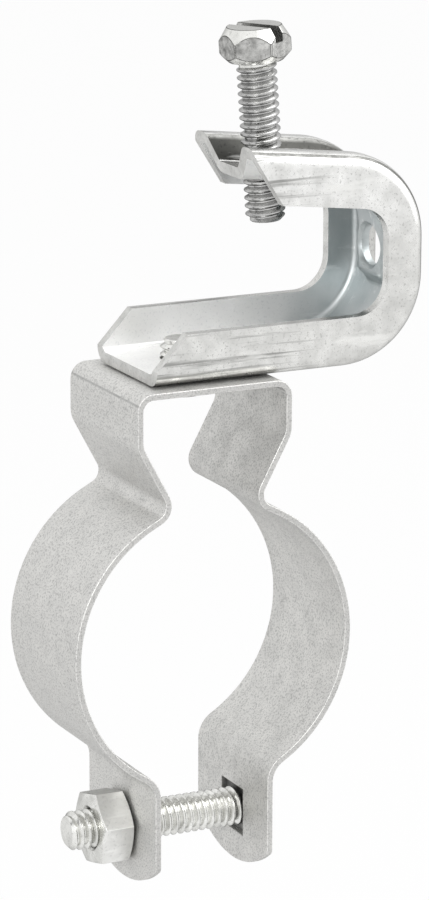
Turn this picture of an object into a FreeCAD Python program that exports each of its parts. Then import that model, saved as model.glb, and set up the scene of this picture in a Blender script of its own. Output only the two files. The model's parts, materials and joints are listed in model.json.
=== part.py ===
import FreeCAD, Part
import Sketcher
import math
import os
from types import SimpleNamespace

# Conduit to beam clamp, in millimetres and degrees.
# X runs from the open jaw towards the spine, Y along the conduit and Z up the swivel axis.
# The part's origin lies on the swivel axis, level with the edges that a beam flange rests on.

# Driving sizes

SIZES = {
    # formed clamp: overall shape
    "clamp_width": 22.2,
    "clamp_gauge": 1.8,
    "clamp_bend": 2.5,
    "spine_reach": 37.6,
    "corner_radius": 14.0,
    "arm_height": 35.04,
    "arm_slope": 6.5,
    "screw_spacing": 14.2,
    # formed clamp: flanges and the two open ends
    "jaw_lip": 8.1,
    "spine_lip": 6.85,
    "arm_lip": 8.4,
    "jaw_corner": 5.5,
    "throat_corner": 5.0,
    "lower_overhang": 9.2,
    "lower_nose": 2.5,
    "lower_slant": 5.2,
    "upper_overhang": 6.8,
    "upper_nose": 1.26,
    "upper_slant": 4.9,
    # formed clamp: valley pressed into the upper arm and the spine
    "valley_floor": 6.4,
    "valley_wall_angle": 50.0,
    "valley_arm_depth": 3.9,
    "valley_spine_depth": 2.8,
    "valley_turn": 10.8,
    "valley_foot_bend": 1.0,
    "valley_end_height": 12.4,
    "valley_run_out": 2.8,
    "valley_setback": 0.9,
    # quarter inch screws and their holes
    "screw_radius": 3.175,
    "thread_clearance": 0.05,
    "tip_chamfer": 0.8,
    "spine_hole_height": 16.8,
    "spine_hole_rim": 0.6,
    # set screw
    "set_screw_length": 25.4,
    "jaw_opening": 14.4,
    "set_screw_lean": 4.2,
    "set_head_height": 5.5,
    "set_head_corners": 11.3,
    "set_head_flats": 9.9,
    "set_head_crown": 4.3,
    "set_head_rim_height": 3.3,
    "set_head_foot": 4.3,
    "set_neck_length": 0.6,
    "set_neck_radius": 2.75,
    "slot_width": 1.9,
    "slot_depth": 2.3,
    # saddle screw
    "saddle_screw_stand": 3.2,
    "saddle_head_radius": 5.6,
    "saddle_head_crown": 3.6,
    "saddle_head_height": 2.2,
    "saddle_slot_width": 1.3,
    "saddle_slot_depth": 1.1,
    # bent strap of the hanger
    "strap_width": 25.4,
    "strap_gauge": 1.0,
    "saddle_span": 26.5,
    "saddle_bend": 2.2,
    "saddle_side": 8.5,
    "shoulder_bend": 4.0,
    "neck_span": 15.0,
    "neck_bend": 2.6,
    "ring_bore_radius": 22.9,
    "ring_depth": 41.85,
    "ring_shoulder_angle": 27.0,
    "ear_gap": 18.6,
    "ear_bend": 4.2,
    "bolt_below_bend": 7.7,
    "ear_tail": 8.7,
    "ear_end_radius": 20.0,
    "ear_corner": 1.2,
    "bolt_hole_radius": 3.5,
    # hanger bolt and nut
    "bolt_length": 30.3,
    "bolt_head_radius": 6.75,
    "bolt_head_crown": 3.8,
    "bolt_head_height": 3.0,
    "square_neck": 7.2,
    "square_neck_length": 0.4,
    "nut_flats": 11.1,
    "nut_thickness": 5.56,
    "nut_turn": 13.0,
    "nut_face_radius": 4.95,
    "nut_face_chamfer": 1.0,
    # clearance between pieces that move past each other
    "running_gap": 0.3,
}

S = SimpleNamespace(**SIZES)

# Places that follow from the driving sizes


def arm_line(x, depth=0):
    """Height of the line that lies a depth below the crest of the sloping upper arm."""
    slope = math.radians(S.arm_slope)
    return S.arm_height - (x - S.screw_spacing) * math.tan(slope) - depth / math.cos(slope)


def bend_drop():
    """How far the bend between ring and ear has its middle below the ring's own middle."""
    reach = S.ring_bore_radius + S.strap_gauge / 2 + S.ear_bend
    out = S.ear_gap / 2 + S.strap_gauge / 2 + S.ear_bend
    return math.sqrt(reach ** 2 - out ** 2)


def set_screw_places():
    """Height where the leaning screw crosses the valley's floor, and its head's seat."""
    lean = math.radians(S.set_screw_lean)
    crossing = arm_line(S.screw_spacing, S.valley_arm_depth)
    below = (crossing - S.jaw_lip - S.jaw_opening) / math.cos(lean)
    above = S.set_screw_length - below
    return {
        "set_screw_crossing": crossing,
        "set_head_x": S.screw_spacing - above * math.sin(lean),
        "set_head_z": crossing - S.jaw_lip + above * math.cos(lean),
    }


PLACES = {
    "bolt_depth": S.ring_depth + bend_drop() + S.bolt_below_bend,
    **set_screw_places(),
}

# Outlines
# An outline is a chain of ("line", start, end) and ("arc", centre, radius, first, last).
# An arc whose last angle is the smaller one turns clockwise.


def direction(p, q):
    length = math.hypot(q[0] - p[0], q[1] - p[1])
    return ((q[0] - p[0]) / length, (q[1] - p[1]) / length)


def corner_arc(before, corner, after, radius):
    """Arc that rounds a corner, with its two tangent points."""
    u = direction(before, corner)
    v = direction(corner, after)
    turn = math.atan2(u[0] * v[1] - u[1] * v[0], u[0] * v[0] + u[1] * v[1])
    reach = radius * math.tan(abs(turn) / 2)
    side = math.copysign(1, turn)
    start = (corner[0] - u[0] * reach, corner[1] - u[1] * reach)
    end = (corner[0] + v[0] * reach, corner[1] + v[1] * reach)
    centre = (start[0] - side * u[1] * radius, start[1] + side * u[0] * radius)
    first = math.atan2(start[1] - centre[1], start[0] - centre[0])
    return start, ("arc", centre, radius, first, first + turn), end


def rounded(corners, closed=False):
    """Chain through (x, y, radius) corners, each rounded by its own radius."""
    points = [(c[0], c[1]) for c in corners]
    count = len(points)
    chain = []
    here = points[0]
    if closed and corners[0][2] > 0:
        here = corner_arc(points[-1], points[0], points[1], corners[0][2])[2]
    first = here
    for i in range(1, count + 1 if closed else count):
        k = i % count
        radius = corners[k][2]
        inner = closed or i < count - 1
        if radius > 0 and inner:
            after = points[(k + 1) % count]
            start, arc, end = corner_arc(points[i - 1], points[k], after, radius)
            chain.append(("line", here, start))
            chain.append(arc)
            here = end
        else:
            chain.append(("line", here, first if closed and k == 0 else points[k]))
            here = points[k]
    return chain


def shifted(chain, distance):
    """The chain moved to its left by a distance, still joined end to end."""
    moved = []
    for kind, *item in chain:
        if kind == "line":
            u = direction(*item)
            step = (-u[1] * distance, u[0] * distance)
            moved.append(("line",) + tuple((p[0] + step[0], p[1] + step[1]) for p in item))
        else:
            centre, radius, first, last = item
            side = math.copysign(1, last - first)
            moved.append(("arc", centre, radius - side * distance, first, last))
    return moved


def mirrored(chain, axis):
    """The chain with its first (axis 0) or second (axis 1) coordinates turned over."""
    sign = (-1, 1) if axis == 0 else (1, -1)

    def flip(p):
        return (sign[0] * p[0], sign[1] * p[1])

    def turn(angle):
        return math.pi - angle if axis == 0 else -angle

    image = []
    for kind, *item in chain:
        if kind == "line":
            image.append(("line", flip(item[0]), flip(item[1])))
        else:
            centre, radius, first, last = item
            image.append(("arc", flip(centre), radius, turn(first), turn(last)))
    return image


def ends(item):
    """First and last point of one line or arc."""
    if item[0] == "line":
        return item[1], item[2]
    centre, radius, first, last = item[1:]
    return tuple(
        (centre[0] + radius * math.cos(a), centre[1] + radius * math.sin(a)) for a in (first, last)
    )


def polygon(points):
    return rounded([(x, y, 0) for x, y in points], closed=True)


# Features


def new_body(label, x="0", y="0", z="0"):
    """A body with its own label, placed by expressions of the sheet."""
    body = doc.addObject("PartDesign::Body", label)
    body.Label = label
    body.setExpression(".Placement.Base.x", x)
    body.setExpression(".Placement.Base.y", y)
    body.setExpression(".Placement.Base.z", z)
    return body


def new_sketch(body, name, plane, height=None):
    """A sketch on one of the body's own planes, or at a height above that plane."""
    sketch = body.newObject("Sketcher::SketchObject", name)
    origin = [f for f in body.Origin.OriginFeatures if f.Role == plane][0]
    sketch.AttachmentSupport = [(origin, "")]
    sketch.MapMode = "FlatFace"
    if height:
        sketch.setExpression(".AttachmentOffset.Base.z", height)
    return sketch


def draw(sketch, chain):
    for kind, *item in chain:
        if kind == "line":
            a, b = (FreeCAD.Vector(p[0], p[1], 0) for p in item)
            sketch.addGeometry(Part.LineSegment(a, b), False)
        else:
            centre, radius, first, last = item
            middle = FreeCAD.Vector(centre[0], centre[1], 0)
            circle = Part.Circle(middle, FreeCAD.Vector(0, 0, 1), radius)
            arc = Part.ArcOfCircle(circle, min(first, last), max(first, last))
            sketch.addGeometry(arc, False)


def draw_circle(sketch, radius, x="0", y="0"):
    """A circle whose radius and centre follow expressions of the sheet."""
    start = Part.Circle(FreeCAD.Vector(1, 1, 0), FreeCAD.Vector(0, 0, 1), 1)
    circle = sketch.addGeometry(start, False)
    bound = [
        (Sketcher.Constraint("Radius", circle, 1.0), radius),
        (Sketcher.Constraint("DistanceX", -1, 1, circle, 3, 1.0), x),
        (Sketcher.Constraint("DistanceY", -1, 1, circle, 3, 1.0), y),
    ]
    for constraint, expression in bound:
        index = sketch.addConstraint(constraint)
        sketch.setExpression("Constraints[%d]" % index, expression)


def pad(body, sketch, name, length, symmetric=False, reverse=False):
    feature = body.newObject("PartDesign::Pad", name)
    feature.Profile = sketch
    feature.SideType = "Symmetric" if symmetric else "One side"
    feature.Reversed = reverse
    feature.setExpression("Length", length)
    return feature


def pocket(body, sketch, name, length, symmetric=False, reverse=False):
    feature = body.newObject("PartDesign::Pocket", name)
    feature.Profile = sketch
    feature.SideType = "Symmetric" if symmetric else "One side"
    feature.Reversed = reverse
    feature.setExpression("Length", length)
    return feature


def turned(body, sketch, name, kind, axis, angle=360, reverse=False):
    """Revolution or Groove of a sketch about one of the sketch's own axes."""
    feature = body.newObject("PartDesign::" + kind, name)
    feature.Profile = sketch
    feature.ReferenceAxis = (sketch, [axis])
    feature.Angle = angle
    feature.Reversed = reverse
    return feature


def swept(body, profile, path, name, kind):
    feature = body.newObject("PartDesign::" + kind, name)
    feature.Profile = profile
    feature.Spine = (path, [])
    feature.Transition = "Transformed"
    return feature


def dressed(body, base, name, kind, test, size):
    """Fillet or Chamfer on those edges of a feature whose middle passes a test."""
    doc.recompute()
    edges = []
    for index, edge in enumerate(base.Shape.Edges, 1):
        middle = edge.valueAt((edge.FirstParameter + edge.LastParameter) / 2)
        if test(edge, middle):
            edges.append("Edge%d" % index)
    feature = body.newObject("PartDesign::" + kind, name)
    feature.Base = (base, edges)
    feature.setExpression("Radius" if kind == "Fillet" else "Size", size)
    return feature


def near(a, b):
    return abs(a - b) < 0.01


# Formed clamp, drawn from the underside of its lower arm on the swivel axis


def crest(depth=0, start=-S.lower_overhang, end=S.screw_spacing - S.upper_overhang):
    """Outer line of the web from end to end, or a line at a depth inside it."""
    spine = S.spine_reach - depth
    radius = S.corner_radius - depth
    return [
        (start, depth, 0),
        (spine, depth, radius),
        (spine, arm_line(spine, depth), radius),
        (end, arm_line(end, depth), 0),
    ]


def clamp_side():
    """Side view of the clamp, round its crest and back along the free edge of a flange."""
    tip = S.screw_spacing - S.upper_overhang
    toe = -S.lower_overhang
    slant = tip + S.upper_slant
    inner = S.spine_reach - S.spine_lip
    return crest() + [
        (tip, arm_line(tip) - S.upper_nose, 0),
        (slant, arm_line(slant, S.arm_lip), 0),
        (inner, arm_line(inner, S.arm_lip), S.throat_corner),
        (inner, S.jaw_lip, S.jaw_corner),
        (toe + S.lower_slant, S.jaw_lip, 0),
        (toe, S.lower_nose, 0),
    ]


def valley_half(deeper, rise, out=0):
    """Half section of the valley from its middle: floor, rounded foot and wall.

    Points are (place along X, half width); deeper is 0 for the outer skin and the
    gauge for the skin that faces the jaw, whose bend has the same middle; the wall ends
    a rise above the floor, and the whole section may be moved out towards the crest.
    """
    wall = math.radians(S.valley_wall_angle)
    floor = S.spine_reach - S.valley_spine_depth - deeper + out
    half = S.valley_floor / 2 + deeper * math.tan(wall / 2)
    return rounded([
        (floor, 0, 0),
        (floor, half, S.valley_foot_bend + deeper),
        (floor + rise, half + rise / math.tan(wall), 0),
    ])


def valley_sketch(body, name, height, half):
    """The whole section, closed across its top."""
    sketch = new_sketch(body, name, "XY_Plane", height)
    top = ends(half[-1])[1]
    draw(sketch, half + mirrored(half, 1) + [("line", top, (top[0], -top[1]))])
    return sketch


def valley_skin(body, name, kind, path, deeper, rise):
    """One skin of the valley: swept along its path, and running out down the spine."""
    half = valley_half(deeper, rise)
    section = valley_sketch(body, name + "_section", "sizes.valley_end_height", half)
    swept(body, section, path, name, kind + "Pipe")

    low = "sizes.valley_end_height - sizes.valley_run_out"
    out = valley_half(deeper, rise, S.valley_spine_depth)
    again = valley_sketch(body, name + "_start", "sizes.valley_end_height", half)
    last = valley_sketch(body, name + "_last", low, out)
    end = body.newObject("PartDesign::" + kind + "Loft", name + "_end")
    end.Profile = again
    end.Sections = [last]
    end.Ruled = True
    return end


def crest_edges():
    """The crest line as edges in the clamp's middle plane."""
    edges = []
    for kind, *item in rounded(crest()):
        if kind == "line":
            a, b = (FreeCAD.Vector(p[0], 0, p[1]) for p in item)
            edges.append(Part.makeLine(a, b))
        else:
            centre, radius, first, last = item
            middle = FreeCAD.Vector(centre[0], 0, centre[1])
            points = [
                FreeCAD.Vector(
                    middle.x + radius * math.cos(a), 0, middle.z + radius * math.sin(a)
                )
                for a in (first, (first + last) / 2, last)
            ]
            edges.append(Part.Arc(*points).toShape())
    return edges


def beam_clamp():
    """Formed clamp, drawn from the underside of its lower arm on the swivel axis."""
    body = new_body("beam_clamp", z="-sizes.jaw_lip")
    tip = S.screw_spacing - S.upper_overhang
    toe = -S.lower_overhang
    beyond = 2 * S.spine_reach

    side = new_sketch(body, "clamp_side", "XZ_Plane")
    draw(side, rounded(clamp_side(), closed=True))
    pad(body, side, "clamp_block", "sizes.clamp_width", symmetric=True)

    hollow = new_sketch(body, "channel_side", "XZ_Plane")
    draw(hollow, rounded(crest(S.clamp_gauge, -beyond, -beyond), closed=True))
    width = "sizes.clamp_width - 2 * sizes.clamp_gauge"
    pocket(body, hollow, "channel", width, symmetric=True)

    path = new_sketch(body, "valley_path", "XZ_Plane")
    floor = S.spine_reach - S.valley_spine_depth
    past = tip - S.clamp_gauge
    draw(path, rounded([
        (floor, S.valley_end_height, 0),
        (floor, arm_line(floor, S.valley_arm_depth), S.valley_turn),
        (past, arm_line(past, S.valley_arm_depth), 0),
    ]))
    rise = (S.clamp_gauge + S.valley_arm_depth + S.valley_spine_depth) / 2
    valley_skin(body, "rib", "Additive", path, S.clamp_gauge, rise)

    around = new_sketch(body, "around_crest", "XZ_Plane")
    low = arm_line(tip, 2 * S.valley_arm_depth)
    draw(around, rounded(crest() + [
        (tip + 2 * S.valley_setback, low, 0),
        (-beyond, low, 0),
        (-beyond, beyond, 0),
        (beyond, beyond, 0),
        (beyond, -beyond, 0),
        (toe, -beyond, 0),
    ], closed=True))
    pocket(body, around, "trimmed_rib", "sizes.clamp_width", symmetric=True)

    rise = S.valley_arm_depth + S.clamp_gauge
    grooved = valley_skin(body, "valley", "Subtractive", path, 0, rise)

    outer = Part.Wire(crest_edges())
    half = S.clamp_width / 2

    def outer_bend(edge, middle):
        to_crest = outer.distToShape(Part.Vertex(middle.x, 0, middle.z))[0]
        return near(abs(middle.y), half) and to_crest < 0.01

    dressed(body, grooved, "outer_bends", "Fillet", outer_bend, "sizes.clamp_bend")

    bore = "sizes.screw_radius + sizes.thread_clearance"
    lower = new_sketch(body, "saddle_screw_hole_circle", "XY_Plane")
    draw_circle(lower, bore)
    pocket(body, lower, "saddle_screw_hole", "2 * sizes.clamp_gauge", reverse=True)

    upper = new_sketch(body, "set_screw_hole_circle", "XY_Plane", "sizes.set_screw_crossing")
    upper.AttachmentOffset = leaning(upper.AttachmentOffset.Base)
    upper.setExpression(".AttachmentOffset.Base.x", "sizes.screw_spacing")
    upper.setExpression(".AttachmentOffset.Rotation.Angle", "sizes.set_screw_lean")
    draw_circle(upper, bore)
    pocket(body, upper, "set_screw_hole", "4 * sizes.clamp_gauge", symmetric=True)

    inside = "sizes.spine_reach - sizes.spine_lip"
    spine = new_sketch(body, "spine_hole_circle", "YZ_Plane", inside)
    draw_circle(spine, bore, y="sizes.spine_hole_height")
    drilled = pocket(body, spine, "spine_hole", "2 * sizes.spine_lip", reverse=True)

    face = S.spine_reach - S.valley_spine_depth - S.clamp_gauge
    radius = S.screw_radius + S.thread_clearance

    def spine_rim(edge, middle):
        to_axis = math.hypot(middle.y, middle.z - S.spine_hole_height)
        return near(middle.x, face) and near(to_axis, radius)

    dressed(body, drilled, "spine_hole_rim", "Chamfer", spine_rim, "sizes.spine_hole_rim")
    return body


# Screws, bolt and nut


def leaning(base):
    """A placement that leans towards the open jaw; its angle is then bound to the sheet."""
    return FreeCAD.Placement(base, FreeCAD.Rotation(FreeCAD.Vector(0, -1, 0), S.set_screw_lean))


def hexagon(flats, first_corner):
    """Corners of a hexagon from its width over flats and its first corner's angle."""
    reach = flats / math.sqrt(3)
    angles = [math.radians(first_corner + 60 * k) for k in range(6)]
    return polygon([(reach * math.cos(a), reach * math.sin(a)) for a in angles])


def set_screw():
    """Slotted hexagon head screw, drawn from the underside of its head."""
    body = new_body("set_screw", x="sizes.set_head_x", z="sizes.set_head_z")
    body.Placement = leaning(body.Placement.Base)
    body.setExpression(".Placement.Rotation.Angle", "sizes.set_screw_lean")
    corner = S.set_head_corners / 2
    length = S.set_screw_length
    slope = S.set_head_height * 0.25

    outline = new_sketch(body, "set_screw_outline", "XZ_Plane")
    draw(outline, rounded([
        (0, -length, 0),
        (S.screw_radius - S.tip_chamfer, -length, 0),
        (S.screw_radius, -length + S.tip_chamfer, 0),
        (S.screw_radius, -S.set_neck_length - S.tip_chamfer / 2, 0),
        (S.set_neck_radius, -S.set_neck_length, 0),
        (S.set_neck_radius, 0, 0),
        (S.set_head_foot, 0, 0),
        (corner, slope, 0),
        (corner, S.set_head_rim_height, 0),
        (S.set_head_crown, S.set_head_height, 0),
        (0, S.set_head_height, 0),
    ], closed=True))
    turned(body, outline, "set_screw_blank", "Revolution", "V_Axis")

    flats = new_sketch(body, "set_head_hexagon", "XY_Plane")
    draw(flats, hexagon(S.set_head_flats, 30))
    draw_circle(flats, "sizes.set_head_corners")
    pocket(body, flats, "set_head_flats", "sizes.set_head_height", reverse=True)

    slot(body, "set_slot", "sizes.set_head_height", corner, S.slot_width, "sizes.slot_depth")
    return body


def slot(body, name, height, reach, width, depth, reverse=False):
    """Driver slot along X, cut into a head from the plane at a height."""
    sketch = new_sketch(body, name + "_outline", "XY_Plane", height)
    x, y = 2 * reach, width / 2
    draw(sketch, polygon([(-x, -y), (x, -y), (x, y), (-x, y)]))
    return pocket(body, sketch, name, depth, reverse=reverse)


def saddle_screw():
    """Slotted low head screw, drawn from the face of its head that bears on the saddle."""
    z = "-sizes.jaw_lip - 2 * sizes.running_gap - sizes.strap_gauge"
    body = new_body("saddle_screw", z=z)
    length = 2 * S.running_gap + S.strap_gauge + S.clamp_gauge + S.saddle_screw_stand

    outline = new_sketch(body, "saddle_screw_outline", "XZ_Plane")
    draw(outline, polygon([
        (0, -S.saddle_head_height),
        (S.saddle_head_crown, -S.saddle_head_height),
        (S.saddle_head_radius, -S.saddle_head_height / 3),
        (S.saddle_head_radius, 0),
        (S.screw_radius, 0),
        (S.screw_radius, length - S.tip_chamfer),
        (S.screw_radius - S.tip_chamfer, length),
        (0, length),
    ]))
    turned(body, outline, "saddle_screw_blank", "Revolution", "V_Axis")
    slot(
        body, "saddle_slot", "-sizes.saddle_head_height", S.saddle_head_radius,
        S.saddle_slot_width, "sizes.saddle_slot_depth", reverse=True,
    )
    return body


def hanger_bolt():
    """Round head bolt with a square neck, drawn from the face of its head."""
    x = "sizes.ear_gap / 2 + sizes.strap_gauge"
    z = "-sizes.jaw_lip - sizes.running_gap - sizes.bolt_depth"
    body = new_body("hanger_bolt", x=x, z=z)

    outline = new_sketch(body, "hanger_bolt_outline", "XZ_Plane")
    draw(outline, polygon([
        (S.bolt_head_height, 0),
        (S.bolt_head_height, S.bolt_head_crown),
        (S.bolt_head_height / 3, S.bolt_head_radius),
        (0, S.bolt_head_radius),
        (0, S.screw_radius),
        (S.tip_chamfer - S.bolt_length, S.screw_radius),
        (-S.bolt_length, S.screw_radius - S.tip_chamfer),
        (-S.bolt_length, 0),
    ]))
    turned(body, outline, "hanger_bolt_blank", "Revolution", "H_Axis")

    square = new_sketch(body, "square_neck_outline", "YZ_Plane")
    half = S.square_neck / 2
    draw(square, polygon([(-half, -half), (half, -half), (half, half), (-half, half)]))
    pad(body, square, "square_neck", "sizes.square_neck_length", reverse=True)
    return body


def hex_nut():
    """Hexagon nut, drawn from the middle of its face on the ear's side."""
    x = "-sizes.ear_gap / 2 - sizes.strap_gauge - sizes.running_gap"
    z = "-sizes.jaw_lip - sizes.running_gap - sizes.bolt_depth"
    body = new_body("hex_nut", x=x, z=z)

    sides = new_sketch(body, "nut_hexagon", "YZ_Plane")
    draw(sides, hexagon(S.nut_flats, -S.nut_turn))
    pad(body, sides, "nut_block", "sizes.nut_thickness", reverse=True)

    slope = new_sketch(body, "nut_face_slopes", "XZ_Plane")
    run = 2 * (S.nut_flats / math.sqrt(3) - S.nut_face_radius)
    for face, way in ((0, 1), (-S.nut_thickness, -1)):
        high = S.nut_face_radius + run
        draw(slope, polygon([
            (face, S.nut_face_radius),
            (face - 2 * way * S.nut_face_chamfer, high),
            (face + way, high),
            (face + way, S.nut_face_radius),
        ]))
    turned(body, slope, "nut_faces", "Groove", "H_Axis")

    bore = new_sketch(body, "nut_bore_circle", "YZ_Plane")
    draw_circle(bore, "sizes.screw_radius + sizes.thread_clearance")
    pocket(body, bore, "nut_bore", "sizes.nut_thickness")
    return body


# Hanger strap


def strap_half():
    """Middle line of the strap from the middle of the saddle down to the right ear's end."""
    half_gauge = S.strap_gauge / 2
    side = S.saddle_span / 2 - half_gauge
    neck = S.neck_span / 2 - half_gauge
    ear = S.ear_gap / 2 + half_gauge
    ring = S.ring_bore_radius + half_gauge
    middle = (0, -S.ring_depth)

    first = math.radians(90 - S.ring_shoulder_angle)
    shoulder = (ring * math.cos(first), middle[1] + ring * math.sin(first))
    neck_height = shoulder[1] + (shoulder[0] - neck) / math.tan(first)

    bend = (ear + S.ear_bend, middle[1] - bend_drop())
    last = -math.atan2(bend_drop(), bend[0])
    return rounded([
        (0, -half_gauge, 0),
        (side, -half_gauge, S.saddle_bend),
        (side, -S.saddle_side, S.shoulder_bend),
        (neck, neck_height, S.neck_bend),
        (*shoulder, 0),
    ]) + [
        ("arc", middle, ring, first, last),
        ("arc", bend, S.ear_bend, last + math.pi, math.pi),
        ("line", (ear, bend[1]), (ear, -PLACES["bolt_depth"] - S.ear_tail)),
    ]


def conduit_hanger():
    """Bent strap, drawn from the top of its saddle on the swivel axis."""
    body = new_body("conduit_hanger", z="-sizes.jaw_lip - sizes.running_gap")
    middle_line = strap_half()
    outer = shifted(middle_line, S.strap_gauge / 2)
    inner = shifted(middle_line, -S.strap_gauge / 2)
    foot = [("line", ends(outer[-1])[1], ends(inner[-1])[1])]
    half = outer + inner + foot

    side = new_sketch(body, "strap_side", "XZ_Plane")
    draw(side, half + mirrored(half, 0))
    pad(body, side, "strap", "sizes.strap_width", symmetric=True)

    width = S.strap_width / 2
    round_middle = S.ear_end_radius - PLACES["bolt_depth"] - S.ear_tail
    spread = math.asin(width / S.ear_end_radius)
    shoulder = round_middle - S.ear_end_radius * math.cos(spread)
    beyond = (2 * width, shoulder - S.ear_end_radius)
    corner = (width, shoulder)
    ear_end = new_sketch(body, "ear_end", "YZ_Plane")
    draw(ear_end, [
        ("arc", (0, round_middle), S.ear_end_radius, -math.pi / 2 - spread, spread - math.pi / 2),
        ("line", corner, (beyond[0], shoulder)),
        ("line", (beyond[0], shoulder), beyond),
        ("line", beyond, (-beyond[0], beyond[1])),
        ("line", (-beyond[0], beyond[1]), (-beyond[0], shoulder)),
        ("line", (-beyond[0], shoulder), (-width, shoulder)),
    ])
    ends_cut = pocket(body, ear_end, "ear_ends", "4 * sizes.ring_bore_radius", symmetric=True)

    def ear_corner(edge, middle):
        return near(abs(middle.y), width) and near(middle.z, shoulder)

    dressed(body, ends_cut, "ear_corners", "Fillet", ear_corner, "sizes.ear_corner")

    saddle = new_sketch(body, "saddle_hole_circle", "XY_Plane")
    draw_circle(saddle, "sizes.screw_radius + sizes.running_gap")
    pocket(body, saddle, "saddle_hole", "2 * sizes.strap_gauge")

    left = new_sketch(body, "bolt_hole_circle", "YZ_Plane")
    draw_circle(left, "sizes.bolt_hole_radius", y="-sizes.bolt_depth")
    pocket(body, left, "bolt_hole", "sizes.ear_gap")

    right = new_sketch(body, "square_hole_outline", "YZ_Plane")
    half = S.square_neck / 2 + S.running_gap
    y = -PLACES["bolt_depth"]
    draw(right, polygon([(-half, y - half), (half, y - half), (half, y + half), (-half, y + half)]))
    pocket(body, right, "square_hole", "sizes.ear_gap", reverse=True)
    return body


# Document, check and export

doc = FreeCAD.newDocument("conduit_to_beam_clamp")
sheet = doc.addObject("Spreadsheet::Sheet", "sizes")
for row, (name, value) in enumerate({**SIZES, **PLACES}.items(), 1):
    sheet.set("A%d" % row, name)
    sheet.set("B%d" % row, str(value))
    sheet.setAlias("B%d" % row, name)
doc.recompute()

bodies = [
    beam_clamp(),
    set_screw(),
    saddle_screw(),
    conduit_hanger(),
    hanger_bolt(),
    hex_nut(),
]
doc.recompute()

for item in doc.Objects:
    if "Invalid" in item.State or "Error" in item.State:
        raise RuntimeError("%s is not built: %s" % (item.Label, item.State))
os.makedirs("parts", exist_ok=True)
for body in bodies:
    if body.Shape.isNull() or not body.Shape.isValid() or len(body.Shape.Solids) != 1:
        raise RuntimeError("%s is not one valid solid" % body.Label)
    body.Shape.exportStep("parts/%s.step" % body.Label)
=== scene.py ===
# %% [markdown]
# This lesson dresses one small piece of hardware: a beam clamp whose set screw bites a
# beam's flange, and a strap hanger under it that closes round a conduit. The solids come
# in as a fixed frame, and each piece gets its real threads, softened edges and metal.
# The scene is in metres, and sizes written in millimetres are brought to metres by MM.
# X runs from the open jaw to the spine, Y along the conduit, and Z up the axis on which
# the hanger swivels.

import json
import math

import bmesh
import bpy
from mathutils import Matrix, Vector


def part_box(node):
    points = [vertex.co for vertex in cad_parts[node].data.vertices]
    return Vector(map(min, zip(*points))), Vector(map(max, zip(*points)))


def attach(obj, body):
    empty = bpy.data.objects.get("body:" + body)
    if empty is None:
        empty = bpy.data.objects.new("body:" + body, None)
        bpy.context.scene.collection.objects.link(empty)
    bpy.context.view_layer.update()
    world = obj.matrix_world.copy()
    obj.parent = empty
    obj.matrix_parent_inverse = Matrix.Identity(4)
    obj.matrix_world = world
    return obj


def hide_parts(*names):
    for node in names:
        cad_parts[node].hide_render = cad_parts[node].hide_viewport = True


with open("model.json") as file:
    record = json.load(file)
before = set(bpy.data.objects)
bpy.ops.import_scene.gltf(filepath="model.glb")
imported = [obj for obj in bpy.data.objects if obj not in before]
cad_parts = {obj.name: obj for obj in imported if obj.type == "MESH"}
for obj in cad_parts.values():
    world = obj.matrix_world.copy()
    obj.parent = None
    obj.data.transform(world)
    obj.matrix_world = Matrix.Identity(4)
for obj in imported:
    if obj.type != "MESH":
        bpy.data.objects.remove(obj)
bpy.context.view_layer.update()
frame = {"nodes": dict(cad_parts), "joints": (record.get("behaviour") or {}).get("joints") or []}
MM = 0.001
print("pieces of the frame:", sorted(frame["nodes"]))

# %% [markdown]
# A clean scene starts with the colour settings. The Standard view shows a colour about as
# it is written, which suits bare metal on white better than a filmic curve does.

# %% Colour settings
scene = bpy.context.scene
scene.view_settings.view_transform = "Standard"
print("view:", scene.view_settings.view_transform)

# %% [markdown]
# Each piece of the hardware becomes one Blender object. It rides on a moving body of the
# frame and stands in for one of its plain solids. The shape is worked on as a bmesh and
# is turned into an object only when it is done, so one helper does this for all six.

# %% A piece in place of a solid


def piece(name, bm, body, node, slot, *materials):
    """A named object at the origin, made from a bmesh, in place of one node."""
    mesh = bpy.data.meshes.new(name)
    bm.to_mesh(mesh)
    bm.free()
    for material in materials:
        mesh.materials.append(material)
    made = bpy.data.objects.new(name, mesh)
    scene.collection.objects.link(made)
    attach(made, body)
    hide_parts(node)
    print(name, "has", len(mesh.polygons), "faces before its modifiers")
    return made


# %% [markdown]
# No sheared or turned edge is a perfect knife. A Bevel modifier with a real width rounds
# every sharp edge and catches a thin line of light there. Weighted normals then keep the
# wide faces flat to look at while the narrow ones stay smooth. Doing it with modifiers
# leaves the shape below simple, and the roundings may have a finish of their own.

# %% Softened edges


def soften(made, width, sharp, segments=2, edge_material=-1):
    """Rounds every edge that is sharper than an angle, and shades the rest smoothly."""
    mesh = made.data
    mesh.polygons.foreach_set("use_smooth", [True] * len(mesh.polygons))
    bevel = made.modifiers.new("softened_edges", "BEVEL")
    bevel.width = width
    bevel.segments = segments
    bevel.limit_method = "ANGLE"
    bevel.angle_limit = math.radians(sharp)
    bevel.harden_normals = True
    bevel.material = edge_material
    flat = made.modifiers.new("flat_faces", "WEIGHTED_NORMAL")
    flat.keep_sharp = True
    print(made.name, "has its edges rounded by %.2f mm" % (width / MM))


# %% [markdown]
# A spin leaves doubled points at its poles, and may leave the skin inside out, so one
# helper welds and turns it. A screw is a head and a rod that overlap. They could be fused
# by a boolean, but two closed shells in one mesh look the same and keep clean faces.

# %% Closed shells


def outwards(bm):
    """Merges what touches and turns every face to the outside."""
    bmesh.ops.remove_doubles(bm, verts=bm.verts, dist=0.002 * MM)
    bmesh.ops.recalc_face_normals(bm, faces=bm.faces)
    return bm


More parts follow.
